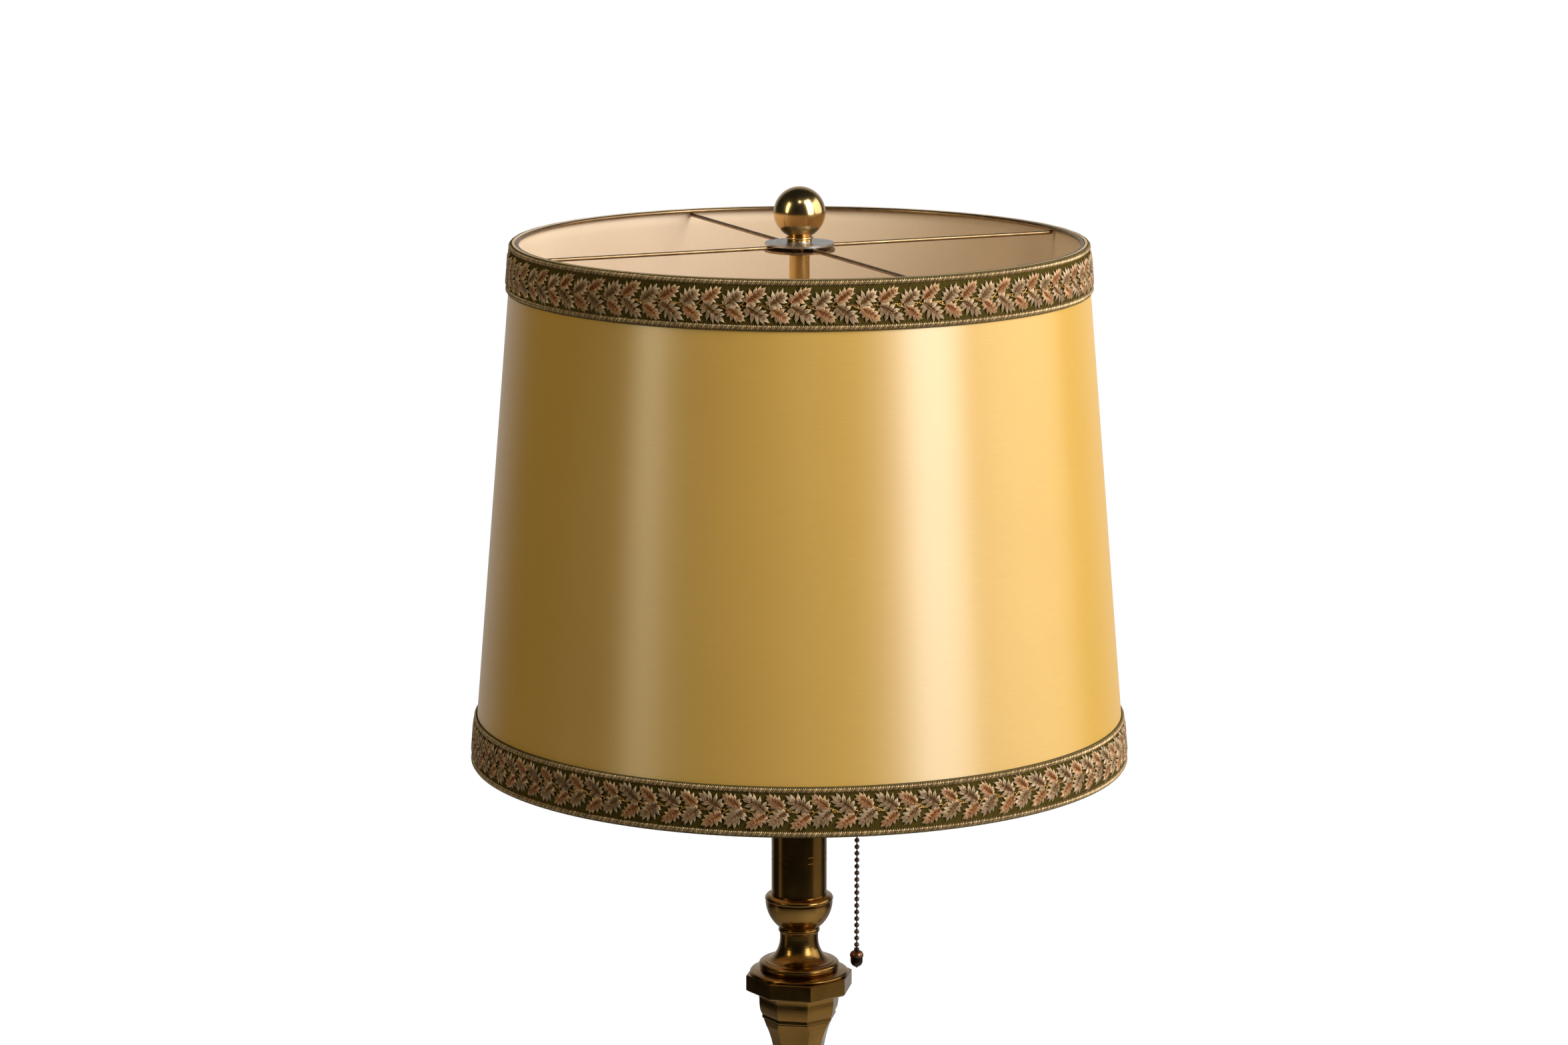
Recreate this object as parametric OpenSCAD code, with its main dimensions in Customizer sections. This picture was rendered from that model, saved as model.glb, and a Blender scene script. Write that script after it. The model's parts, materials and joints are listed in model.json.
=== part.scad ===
// Candlestick floor lamp: a tapered drum shade with braided bands stands on a central riser tube,
// above an octagonal brass column. A two-lamp cluster inside the shade is worked by a pull chain.
// Millimetres, +Z up, origin on the floor at the column's axis. The front of the lamp faces -Y,
// and the pull chain hangs on the +X side.

/* [Overall] */
// Height of the shade's top rim above the floor
rim_z = 1465; // [1350:5:1600]
// Turn of the octagonal pieces about the column, in degrees: a face looks this far from +X
octagon_turn = -10.5; // [-22.5:0.5:22.5]

/* [Shade] */
// Outside radius of the panel at its top edge
shade_top_r = 175.8; // [160:0.2:185]
// Outside radius of the panel at its bottom edge
shade_bottom_r = 203.0; // [190:0.5:225]
// Height of the shade from edge to edge
shade_h = 324; // [280:1:350]
// Thickness of the stiff panel
panel_t = 1.0; // [0.6:0.1:2]
// Thickness of the lining on the panel's inside
lining_t = 0.5; // [0.3:0.1:1]
// Height of the braid bands
braid_h = 30; // [15:1:45]
// Thickness of the braid's ribbed ground
braid_t = 1.2; // [0.8:0.1:2]
// Diameter of the rim wires
rim_wire_d = 2.6; // [2:0.1:4]

/* [Shade carrier] */
// Diameter of the four spider arms
arm_d = 2.4; // [1.8:0.1:3.5]
// Direction of the first spider arm, in degrees from +X
arm_turn = 23.5; // [0:0.5:89]
// Depth of the arms' centre line below the rim
arm_drop = 3.65; // [3.2:0.05:6]
// Diameter of the upper hub disc
hub_top_d = 42.6; // [36:0.2:50]
// Diameter of the lower hub disc
hub_bottom_d = 43.6; // [36:0.2:50]
// Thickness of each hub disc
hub_t = 1.4; // [1:0.1:2]
// Outside diameter of the riser tube
riser_d = 12.5; // [11.5:0.1:16]

/* [Finial] */
// Radius of the ball
ball_r = 15.9; // [12:0.1:20]
// Height of the ball's centre above the rim
ball_z = 17.4; // [16:0.1:24]
// Radius of the threaded stud that the finial screws onto
stud_r = 3.1; // [2.5:0.05:3.2]
// Radial clearance of the finial's threaded hole on the stud
thread_gap = 0.08; // [0.02:0.01:0.1]

/* [Candle, cup and knop] */
// Radius of the candle tube
candle_r = 17.35; // [16:0.05:18.5]
// Wall of the candle tube
candle_wall = 1.0; // [0.6:0.1:2]
// Widest radius of the cup
cup_r = 21.5; // [20:0.1:25]
// Radius of the neck under the cup at its narrowest
neck_r = 12.0; // [10.5:0.1:14]
// Radius of the cushion moulding
cushion_r = 31.0; // [28:0.1:34]
// Distance across the flats of the octagonal block
block_af = 63; // [58:0.2:70]

/* [Column] */
// Distance across the flats of the capital at its top
capital_af = 49; // [44:0.2:52]
// Distance across the flats of the upper shaft at its narrowest
shaft_top_af = 26; // [25:0.2:32]
// Distance across the flats of the column at its middle ring
shaft_mid_af = 35; // [32:0.5:40]
// Distance across the flats of the lower shaft at its foot
shaft_foot_af = 44; // [38:0.5:50]
// How much farther from the axis the shafts' narrow sides lie than their wide ones
side_ratio = 1.09; // [1:0.01:1.1]
// Height of the middle ring's centre above the floor
mid_ring_z = 550; // [450:5:650]
// Diameter of the threaded pipe that ties the column together
pipe_d = 10.3; // [9.5:0.1:10.4]
// Bore of the threaded pipe
pipe_bore_d = 7.0; // [6:0.1:7.5]

/* [Base] */
// Distance across the flats of the base
base_af = 266; // [240:2:300]
// Thickness of the felt
felt_t = 2; // [1:0.5:3]

/* [Lights] */
// Angle between each socket's axis and the vertical, in degrees
socket_tilt = 55; // [50:1:60]
// Radius of each bulb's globe
globe_r = 30; // [24:0.5:32]
// Length of each bulb, cap included
bulb_l = 110; // [100:1:116]

/* [Switch and chain] */
// Distance of the pull chain from the column's axis
chain_x = 36.3; // [36.2:0.1:37]
// Diameter of the chain's beads
bead_d = 3.2; // [2.4:0.1:3.4]
// Spacing of the chain's beads
bead_pitch = 4.23; // [4:0.01:5]
// Depth of the acorn's lowest point below the rim
acorn_drop = 462; // [450:1:480]

/* [Hidden] */
$fn = 96;

// Small gaps
fit_gap = 0.05;
body_gap = 0.3;
cut = 1;

// Colours
old_brass = [0.55, 0.40, 0.18];
bright_brass = [0.78, 0.60, 0.28];
bronze = [0.33, 0.24, 0.15];
steel = [0.60, 0.60, 0.60];
iron = [0.25, 0.25, 0.26];

// Heights that follow the rim
shade_bottom_z = rim_z - shade_h;
block_top_z = rim_z - 464.8;
block_bottom_z = rim_z - 475.4;
capital_bottom_z = rim_z - 493.5;
collar_z = rim_z - 435;
cup_lip_z = rim_z - 413.2;
candle_foot_z = rim_z - 418;
ledge_z = rim_z - 456.5;
cluster_z = rim_z - 293;
cluster_h = 28;
cover_h = 6;
cluster_nut_h = 4;
riser_foot_z = cluster_z + cluster_h + cover_h + cluster_nut_h;

// Hub discs
disc_gap = arm_d + 2 * fit_gap;
hub_top_z = rim_z - arm_drop + disc_gap / 2;
hub_bottom_z = rim_z - arm_drop - disc_gap / 2 - hub_t;
stud_flange_t = 2.3;
riser_top_z = hub_bottom_z - body_gap - stud_flange_t;
riser_bore_r = pipe_d / 2 + 0.1;
finial_washer_t = 0.6;
finial_foot_z = hub_top_z + hub_t + finial_washer_t + 2 * fit_gap;

// Column pieces below
pipe_r = pipe_d / 2;
pipe_hole_r = pipe_r + 0.15;
plate_z = 68;
foot_block_h = 12;
foot_bell_h = 46;
lower_shaft_z = plate_z + foot_block_h + foot_bell_h;
ring_h = 30;
ring_r = 27;

// Base
base_r = base_af / 2;
weight_z = felt_t + 2;
lead_z = felt_t + 6.5;
lead_r = 2.3;
lead_bend_r = 20;
pipe_foot_z = lead_z + lead_bend_r + 3;
tie_nut_h = 5;
washer_t = 1.6;
weight_seat_z = pipe_foot_z + 2 + tie_nut_h + washer_t;
plate_t = 5;
rear_dir = octagon_turn + 90;

// Sockets, measured along each socket's own axis
cluster_r = 22;
socket_axis_z = cluster_z + cluster_h / 2 + 1 - cluster_r / tan(socket_tilt);
wall_at = cluster_r / sin(socket_tilt);
socket_cap_at = wall_at + 9;
socket_shell_at = socket_cap_at + 14;
socket_shell_l = 38;
socket_r = 16.5;
bulb_at = socket_shell_at + 12;
bulb_cap_l = 25;
screw_r = 13.4;
bulb_cap_r = 13.0;

// Switch and chain
wheel_r = 4.5;
wheel_x = chain_x - wheel_r;
wheel_z = cluster_z + 16;
housing_r = 7.5;
housing_w = 14;
spout_top_z = wheel_z - 5.4;
spout_mouth_z = spout_top_z - 9;
bead_r = bead_d / 2;
stub_beads = 4;
stub_top_z = wheel_z - 4;
stub_end_z = stub_top_z - (stub_beads - 1) * bead_pitch;
joiner_r = 2.3;
joiner_z = stub_end_z - bead_r - body_gap - joiner_r;
chain_top_z = joiner_z - joiner_r - body_gap;
acorn_z = rim_z - acorn_drop;
acorn_h = 13;
chain_bottom_z = acorn_z + acorn_h;

// Points of a quarter of an ellipse about (cr, cz), from angle a to angle b in n steps
function ellipse_arc(cr, cz, rr, rz, a, b, n) =
    [for (i = [0:n]) [cr + rr * cos(a + (b - a) * i / n), cz + rz * sin(a + (b - a) * i / n)]];

// Radius of the shade panel's outside at height z
function panel_r(z) =
    shade_bottom_r + (shade_top_r - shade_bottom_r) * (z - shade_bottom_z) / shade_h;

// An outline followed by its mirror image in the axis, as one closed loop
function both_sides(outline) =
    concat(outline, [for (i = [1:len(outline)])
        let (p = outline[len(outline) - i]) [-p[0], p[1]]]);

// The outline pushed out to the shafts' narrow sides, and kept within the given radius
function narrow_sides(outline, limit) =
    [for (p = outline) [min(p[0] * side_ratio, limit), p[1]]];

// A solid with eight flat sides. Four follow one outline and the four between them the other
module octagon_between(outline, other) {
    reach = 2.4 * max([for (p = outline) p[0]]);
    intersection_for (k = [0:3])
        rotate([0, 0, octagon_turn + 45 * k])
            rotate([90, 0, 0])
                linear_extrude(height = reach, center = true)
                    polygon(both_sides(k % 2 == 0 ? outline : other));
}

// A solid with eight equal sides whose half width across the flats follows the outline's points
module octagon_turned(outline) {
    octagon_between(outline, outline);
}

// A solid of revolution from the points of its right-hand outline
module turned(outline) {
    rotate_extrude()
        polygon(outline);
}

module tube(z, h, r, hole_r) {
    translate([0, 0, z])
        difference() {
            cylinder(h = h, r = r);
            translate([0, 0, -cut])
                cylinder(h = h + 2 * cut, r = hole_r);
        }
}

module bore(r) {
    translate([0, 0, -cut])
        cylinder(h = rim_z + 200, r = r);
}

// ---------------------------------------------------------------- base

module base_felt() {
    color([0.10, 0.16, 0.11])
        difference() {
            octagon_turned([[base_r - 2, 0], [base_r - 2, felt_t]]);
            bore(20);
        }
}

module base_weight() {
    color(iron)
        difference() {
            union() {
                octagon_turned([[base_r - 8, weight_z], [base_r - 8, 12]]);
                octagon_turned([[base_r - 48, 11], [base_r - 48, 27]]);
                translate([0, 0, 26])
                    cylinder(h = 25, r = 37);
                translate([0, 0, 50])
                    cylinder(h = plate_z - plate_t - 50, r = 30);
            }
            bore(pipe_hole_r);
            bore_mouth();
            rotate([0, 0, rear_dir])
                translate([0, -5, 0])
                    cube([base_r, 10, lead_z + 4.5]);
        }
}

// Room under the weight for the nut, the washer and the lead's bend
module bore_mouth() {
    translate([0, 0, -cut])
        cylinder(h = weight_seat_z + cut, r = 24);
}

module base_shell() {
    outside = concat(
        [[base_r, felt_t], [base_r, 14], [base_r - 1.5, 15.5], [base_r - 5, 15.5], [base_r - 5, 20]],
        ellipse_arc(base_r - 5, 37, 34, 17, 270, 180, 6),
        [[base_r - 41, 37], [base_r - 41, 42]],
        ellipse_arc(base_r - 43, 62, 46, 20, 270, 180, 7),
        [[base_r - 93, 62], [base_r - 93, plate_z]]
    );
    inside = [
        [base_r - 4, felt_t - cut], [base_r - 4, 13], [base_r - 44, 29], [base_r - 46, 36],
        [base_r - 88, 47], [base_r - 97, 58], [base_r - 97, plate_z - plate_t]
    ];
    color(old_brass)
        difference() {
            octagon_turned(outside);
            octagon_turned(inside);
            bore(pipe_hole_r);
            rotate([0, 0, rear_dir])
                translate([base_r - 20, 0, lead_z])
                    rotate([0, 90, 0])
                        cylinder(h = 30, r = 4.1);
        }
}

// Ferrule in the rear wall of the base where the mains lead enters
module cord_bushing() {
    color("dimgray")
        rotate([0, 0, rear_dir])
            translate([base_r, 0, lead_z])
                rotate([0, 90, 0])
                    difference() {
                        union() {
                            translate([0, 0, -7])
                                cylinder(h = 7, r = 4.1 - fit_gap);
                            cylinder(h = 1.2, r = 5.4);
                            translate([0, 0, 1.2])
                                cylinder(h = 1.2, r1 = 5.0, r2 = 4.2);
                        }
                        translate([0, 0, -8])
                            cylinder(h = 12, r = 2.6);
                    }
}

module base_washer() {
    color(steel)
        tube(weight_seat_z - washer_t, washer_t, 14, pipe_hole_r);
}

module hex_nut(z, h, flats) {
    translate([0, 0, z])
        difference() {
            cylinder(h = h, d = flats / cos(30), $fn = 6);
            translate([0, 0, -cut])
                cylinder(h = h + 2 * cut, r = pipe_r + fit_gap);
        }
}

module base_nut() {
    color(steel)
        hex_nut(weight_seat_z - washer_t - tie_nut_h, tie_nut_h, 16);
}

// ---------------------------------------------------------------- column

module lower_pipe() {
    color(steel)
        tube(pipe_foot_z, mid_ring_z - pipe_foot_z, pipe_r, pipe_bore_d / 2);
}

module upper_pipe() {
    color(steel)
        tube(mid_ring_z, riser_foot_z + 16 - mid_ring_z, pipe_r, pipe_bore_d / 2);
}

module pipe_coupling() {
    color(steel)
        tube(mid_ring_z - 12, 24, 7.2, pipe_r + fit_gap);
}

module foot_block() {
    half = 38;
    z = plate_z;
    color(old_brass)
        difference() {
            octagon_turned([
                [half - 1, z], [half, z + 1], [half, z + foot_block_h - 1],
                [half - 1, z + foot_block_h]
            ]);
            bore(pipe_hole_r);
        }
}

// Bell moulding between the base's block and the lower shaft, wide end down
module foot_bell() {
    z = plate_z + foot_block_h;
    color(old_brass)
        difference() {
            turned(concat(
                [[0, z], [33.5, z]],
                ellipse_arc(31, z + 4.5, 5.2, 4.5, -60, 90, 6),
                [[30.5, z + 10.5]],
                ellipse_arc(31.5, z + 32, 15.5, 20, 270, 180, 8),
                [[18.5, z + 33.5], [18.5, z + 36]],
                ellipse_arc(20.5, z + 40, 5.2, 4, -90, 90, 8),
                [[24.6, z + 44], [25.4, z + 44.8], [25.4, z + foot_bell_h], [0, z + foot_bell_h]]
            ));
            bore(pipe_hole_r);
        }
}

module lower_shaft() {
    z = lower_shaft_z;
    top = mid_ring_z - ring_h / 2;
    foot = shaft_foot_af / 2;
    mid = shaft_mid_af / 2 + 0.8;
    outline = [
        [foot - 0.6, z], [foot, z + 1.2], [foot, z + 12], [foot - 2.6, z + 17],
        [foot - 2.6, z + 20], [mid, top - 1], [mid - 0.5, top]
    ];
    color(old_brass)
        difference() {
            octagon_between(outline, narrow_sides(outline, foot * side_ratio));
            bore(11);
        }
}

// Turned ring that covers the joint between the two shafts
module shaft_ring() {
    z = mid_ring_z;
    low = z - ring_h / 2;
    high = z + ring_h / 2;
    color(old_brass)
        difference() {
            turned(concat(
                [[0, low], [20.5, low]],
                ellipse_arc(19.5, low + 3.2, 3.2, 3.2, -70, 80, 6),
                [[18.6, low + 7.2], [20.2, low + 8.6]],
                ellipse_arc(ring_r - 6.4, z, 6.4, 5.8, -75, 75, 9),
                [[20.2, high - 8.6], [18.6, high - 7.2]],
                ellipse_arc(19.5, high - 3.2, 3.2, 3.2, -80, 70, 6),
                [[20.5, high], [0, high]]
            ));
            bore(7.2 + fit_gap);
        }
}

module upper_shaft() {
    z = mid_ring_z + ring_h / 2;
    top = capital_bottom_z;
    mid = shaft_mid_af / 2;
    slim = shaft_top_af / 2;
    flare_r = 12;
    flare_h = 46;
    lip = 20.8;
    outline = concat(
        [[mid - 0.5, z], [mid, z + 1]],
        ellipse_arc(slim + flare_r, top - 44.5, flare_r, flare_h, 180, 119.6, 10),
        [[lip, top - 0.8], [lip, top]]
    );
    color(old_brass)
        difference() {
            octagon_between(outline, narrow_sides(outline, lip + 0.4));
            bore(8.5);
        }
}

module shaft_capital() {
    z = capital_bottom_z;
    top = block_bottom_z;
    half = capital_af / 2;
    color(old_brass)
        difference() {
            octagon_turned(concat(
                [[21.5, z], [21.9, z + 0.6], [21.9, z + 2.6]],
                ellipse_arc(half - 2.9, z + 12, 2.1, 9, -72, 0, 7),
                ellipse_arc(half + 0.1, z + 12.4, 0.9, 4, 180, 95, 6),
                [[half, top]]
            ));
            bore(pipe_hole_r);
        }
}

module octagon_block() {
    half = block_af / 2;
    color(old_brass)
        difference() {
            octagon_turned([
                [half - 1.2, block_bottom_z], [half, block_bottom_z + 1],
                [half, block_top_z - 0.5], [half - 0.5, block_top_z]
            ]);
            bore(pipe_hole_r);
        }
}

// Cushion, ledge, concave bell and collar under the cup, turned as one piece
module bell_neck() {
    z = block_top_z;
    color(old_brass)
        difference() {
            turned(concat(
                [[0, z], [cushion_r - 0.4, z], [cushion_r, z + 0.4]],
                ellipse_arc(cushion_r - 2, z + 0.9, 2, 1.3, 0, 72, 5),
                ellipse_arc(22.7, ledge_z - 2.6, 2.7, 2.6, -62, 90, 9),
                ellipse_arc(21.7, ledge_z + 15, 21.7 - neck_r, 14.4, 270, 180, 14),
                [[neck_r + 0.1, collar_z - 3.4]],
                ellipse_arc(neck_r + 0.1, collar_z - 1.5, 0.9, 1.4, -75, 80, 6),
                [[neck_r, collar_z], [0, collar_z]]
            ));
            bore(pipe_hole_r);
        }
}

module candle_cup() {
    z = collar_z;
    bowl_z = cup_lip_z - 3.6;
    color(old_brass)
        difference() {
            turned(concat(
                [[0, z], [neck_r + 0.2, z]],
                ellipse_arc(0, bowl_z, cup_r - 0.3, 22, -54, -4, 14),
                [[cup_r - 0.9, bowl_z - 1.2], [cup_r - 0.9, bowl_z - 0.5], [cup_r - 0.3, bowl_z]],
                ellipse_arc(cup_r - 3.4, cup_lip_z - 3, 3.4, 3, 0, 90, 9),
                [[candle_r + 0.4, cup_lip_z], [0, cup_lip_z]]
            ));
            bore(pipe_hole_r);
            translate([0, 0, candle_foot_z])
                cylinder(h = 20, r = candle_r + fit_gap);
        }
}

// Brass sleeve between the cup and the cluster, with two engraved rings
module candle_tube() {
    color(old_brass)
        difference() {
            tube(candle_foot_z, cluster_z - candle_foot_z, candle_r, candle_r - candle_wall);
            for (drop = [386, 390])
                tube(rim_z - drop - 0.4, 0.8, candle_r + cut, candle_r - 0.35);
        }
}

// ---------------------------------------------------------------- cluster and riser

// Carries its children to one socket: +Z becomes the socket's axis. side 0 is the rear, 1 the front
module at_socket(side) {
    translate([0, 0, socket_axis_z])
        rotate([0, 0, 90 + 180 * side])
            rotate([0, socket_tilt, 0])
                children();
}

module cluster_body() {
    z = cluster_z;
    color(old_brass)
        difference() {
            turned([
                [0, z], [cluster_r - 3, z], [cluster_r, z + 3],
                [cluster_r, z + cluster_h], [0, z + cluster_h]
            ]);
            translate([0, 0, z + 2])
                cylinder(h = cluster_h, r = cluster_r - 1.6);
            bore(pipe_hole_r);
            for (side = [0, 1])
                at_socket(side)
                    cylinder(h = 60, r = 5.1);
            translate([0, 0, wheel_z])
                rotate([0, 90, 0])
                    cylinder(h = 40, r = 4.1);
        }
}

module cluster_cover() {
    z = cluster_z + cluster_h;
    color(old_brass)
        difference() {
            turned(concat(
                [[0, z], [cluster_r + 0.4, z], [cluster_r + 0.4, z + 1.4]],
                ellipse_arc(0, z + 1.4, cluster_r, cover_h - 1.4, 10, 66, 6),
                [[9, z + cover_h], [0, z + cover_h]]
            ));
            translate([0, 0, z - cut])
                cylinder(h = 2.4, r = cluster_r - 2);
            bore(pipe_hole_r);
        }
}

module cluster_nut() {
    color(steel)
        hex_nut(cluster_z + cluster_h + cover_h, cluster_nut_h, 15);
}

module riser_tube() {
    color(old_brass)
        tube(riser_foot_z, riser_top_z - riser_foot_z, riser_d / 2, riser_bore_r);
}

// Plug in the top of the riser: the shade's hub rests on its flange, the finial screws on its stud
module riser_stud() {
    color(old_brass) {
        translate([0, 0, riser_top_z - 14])
            cylinder(h = 14.1, r = riser_bore_r - fit_gap);
        translate([0, 0, riser_top_z])
            cylinder(h = stud_flange_t, r1 = riser_d / 2, r2 = riser_d / 2 - 0.5);
        translate([0, 0, riser_top_z + 1])
            cylinder(h = rim_z + 9 - riser_top_z - 1, r = stud_r);
    }
}

// Mains lead from the ferrule in the base, up inside the pipe, to the cluster
module supply_lead() {
    overlap = 3;
    color("black")
        union() {
            translate([0, 0, lead_z + lead_bend_r])
                cylinder(h = cluster_z + 14 - lead_z - lead_bend_r, r = lead_r);
            rotate([0, 0, rear_dir])
                translate([lead_bend_r, 0, lead_z + lead_bend_r])
                    rotate([90, 0, 0])
                        rotate([0, 0, 180 - overlap])
                            rotate_extrude(angle = 90 + 2 * overlap)
                                translate([lead_bend_r, 0])
                                    circle(r = lead_r - 0.1, $fn = 48);
            rotate([0, 0, rear_dir])
                translate([lead_bend_r, 0, lead_z])
                    rotate([0, 90, 0])
                        cylinder(h = base_r - lead_bend_r - 1, r = lead_r);
        }
}

// ---------------------------------------------------------------- sockets and bulbs

module socket_nipple(side) {
    color(steel)
        at_socket(side)
            translate([0, 0, wall_at - 6])
                difference() {
                    cylinder(h = 17, r = 5);
                    translate([0, 0, -cut])
                        cylinder(h = 20, r = 3.4);
                }
}

module socket_cap(side) {
    color(bright_brass)
        at_socket(side)
            translate([0, 0, socket_cap_at])
                difference() {
                    rotate_extrude()
                        polygon(concat(
                            [[5 + fit_gap, 0], [7.5, 0], [7.5, 2.5]],
                            ellipse_arc(7.5, 12, socket_r - 7.3, 9.5, -88, 0, 7),
                            [[socket_r + 0.2, 14], [5 + fit_gap, 14]]
                        ));
                    translate([0, 0, 5])
                        cylinder(h = 20, r1 = 9, r2 = 24.5);
                }
}

module socket_shell(side) {
    color(bright_brass)
        at_socket(side)
            tube(socket_shell_at, socket_shell_l, socket_r, socket_r - 0.8);
}

module socket_block(side) {
    color([0.12, 0.10, 0.09])
        at_socket(side)
            translate([0, 0, socket_shell_at]) {
                cylinder(h = 9, r = socket_r - 1.1);
                translate([0, 0, 8.5])
                    cylinder(h = 2.2, r = 4);
            }
}

module screw_shell(side) {
    color("silver")
        at_socket(side)
            tube(socket_shell_at + 9, socket_shell_l - 12, screw_r + 0.5, screw_r);
}

// The bulb's screw cap with its turns, insulator and centre contact
module bulb_base(side) {
    turns = 5;
    pitch = 3.6;
    color("silver")
        at_socket(side)
            translate([0, 0, bulb_at]) {
                cylinder(h = 3.5, r1 = 4.6, r2 = 11.5);
                translate([0, 0, 3.4])
                    cylinder(h = bulb_cap_l - 3.6, r = bulb_cap_r - 0.7);
                for (i = [0:turns - 1])
                    translate([0, 0, 4 + pitch * i]) {
                        cylinder(h = 1.3, r1 = bulb_cap_r - 0.8, r2 = bulb_cap_r);
                        translate([0, 0, 1.3])
                            cylinder(h = 1.3, r1 = bulb_cap_r, r2 = bulb_cap_r - 0.8);
                    }
            }
}

module bulb_glass(side) {
    neck = bulb_cap_l;
    centre = bulb_l - globe_r;
    color([1, 1, 0.96, 0.6])
        at_socket(side)
            translate([0, 0, bulb_at])
                rotate_extrude()
                    polygon(concat(
                        [[0, neck], [bulb_cap_r - 0.4, neck]],
                        [for (i = [1:6]) let (t = i / 7)
                            [
                                bulb_cap_r - 0.4 + (globe_r - 1.6 - bulb_cap_r) * (3 * t * t - 2 * t * t * t),
                                neck + (centre - 8 - neck) * t
                            ]],
                        ellipse_arc(0, centre, globe_r, globe_r, -15, 89, 14),
                        [[0, centre + globe_r]]
                    ));
}

// ---------------------------------------------------------------- switch and pull chain

// Drum-shaped switch on the cluster's side. Its stem passes through the cluster's wall
module switch_housing() {
    color(old_brass)
        difference() {
            union() {
                translate([wheel_x, housing_w / 2, wheel_z])
                    rotate([90, 0, 0])
                        cylinder(h = housing_w, r = housing_r);
                translate([cluster_r - 4, 0, wheel_z])
                    rotate([0, 90, 0])
                        cylinder(h = wheel_x - cluster_r - 2.3, r = 4);
            }
            translate([wheel_x, 5.5, wheel_z])
                rotate([90, 0, 0])
                    cylinder(h = housing_w, r = 6);
            translate([chain_x, 0, spout_top_z - 20])
                cylinder(h = 20, r = 3.6 + fit_gap);
            translate([chain_x, 0, spout_top_z - 20])
                cylinder(h = 25, r = bead_r + 0.5);
        }
}

module switch_cover() {
    color(old_brass)
        translate([wheel_x, -5.5, wheel_z])
            rotate([90, 0, 0])
                difference() {
                    cylinder(h = 1.5, r = 6 - fit_gap);
                    translate([0, 0, -cut])
                        cylinder(h = 4, r = 1.2 + fit_gap);
                }
}

// Bell-mouthed spout that the chain runs out of
module chain_spout() {
    z = spout_mouth_z;
    hole = bead_r + 0.5;
    color(bright_brass)
        translate([chain_x, 0, 0])
            turned(concat(
                [[hole, z + 3.4], [hole, spout_top_z], [3.6, spout_top_z], [3.6, z + 3]],
                ellipse_arc(5.0, z + 2.2, 1.4, 1.2, 150, 90, 3),
                ellipse_arc(5.0, z + 0.9, 0.8, 0.9, 40, -90, 5),
                ellipse_arc(5.0, z + 3.4, 5.0 - hole, 3.4, 262, 190, 5)
            ));
}

module switch_wheel() {
    color([0.85, 0.83, 0.78])
        translate([wheel_x, 4, wheel_z])
            rotate([90, 0, 0])
                difference() {
                    cylinder(h = 8, r = wheel_r - 0.1);
                    translate([0, 0, -cut])
                        cylinder(h = 10, r = 1.2 + fit_gap);
                    for (k = [0:3])
                        rotate([0, 0, 90 * k])
                            translate([wheel_r, 0, -cut])
                                cylinder(h = 3, r = 1, $fn = 24);
                }
}

module wheel_pin() {
    color(steel)
        translate([wheel_x, 5.5, wheel_z])
            rotate([90, 0, 0])
                cylinder(h = 12.5, r = 1.2);
}

// The switch's own few beads of chain, which it pulls the long chain by
module chain_stub() {
    color(bronze)
        translate([chain_x, 0, 0]) {
            for (i = [0:stub_beads - 1])
                translate([0, 0, stub_top_z - bead_pitch * i])
                    sphere(r = bead_r, $fn = 32);
            translate([0, 0, stub_end_z])
                cylinder(h = stub_top_z - stub_end_z, r = 0.5, $fn = 24);
        }
}

module chain_joiner() {
    color(bright_brass)
        translate([chain_x, 0, joiner_z])
            sphere(r = joiner_r, $fn = 48);
}

module pull_chain() {
    color(bronze)
        translate([chain_x, 0, chain_bottom_z])
            cylinder(h = chain_top_z - chain_bottom_z, r = bead_r, $fn = 32);
}

module chain_acorn() {
    z = acorn_z;
    color([0.36, 0.20, 0.13])
        translate([chain_x, 0, 0])
            turned(concat(
                [[0, z], [0.5, z + 0.2], [0.9, z + 0.9]],
                ellipse_arc(0, z + 4.6, 3.85, 3.9, -65, 0, 6),
                [[3.85, z + 7.4], [4.2, z + 7.5]],
                ellipse_arc(1.8, z + 8.1, 2.5, 3.1, 5, 80, 6),
                [[1.6, z + 11.6], [1.6, z + acorn_h], [0, z + acorn_h]]
            ));
}

// ---------------------------------------------------------------- shade

// A conical sleeve between heights low and high, whose faces lie out_t and in_t outside the panel's face
module shade_sleeve(low, high, out_t, in_t) {
    turned([
        [panel_r(low) + in_t, low], [panel_r(low) + out_t, low],
        [panel_r(high) + out_t, high], [panel_r(high) + in_t, high]
    ]);
}

module shade_panel() {
    color([0.80, 0.62, 0.30])
        shade_sleeve(shade_bottom_z, rim_z, 0, -panel_t);
}

module shade_lining() {
    color([0.93, 0.84, 0.74])
        shade_sleeve(shade_bottom_z, rim_z, -panel_t, -panel_t - lining_t);
}

module top_braid() {
    color([0.45, 0.38, 0.26])
        shade_sleeve(rim_z - braid_h, rim_z, braid_t, 0);
}

module bottom_braid() {
    color([0.45, 0.38, 0.26])
        shade_sleeve(shade_bottom_z, shade_bottom_z + braid_h, braid_t, 0);
}

function ring_centre_r(z) = panel_r(z) - panel_t - lining_t - rim_wire_d / 2 - fit_gap;

module rim_ring(z) {
    color(bronze)
        translate([0, 0, z])
            rotate_extrude()
                translate([ring_centre_r(z), 0])
                    circle(d = rim_wire_d, $fn = 32);
}

module top_ring() {
    rim_ring(rim_z - rim_wire_d / 2);
}

module bottom_ring() {
    rim_ring(shade_bottom_z + rim_wire_d / 2);
}

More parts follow.
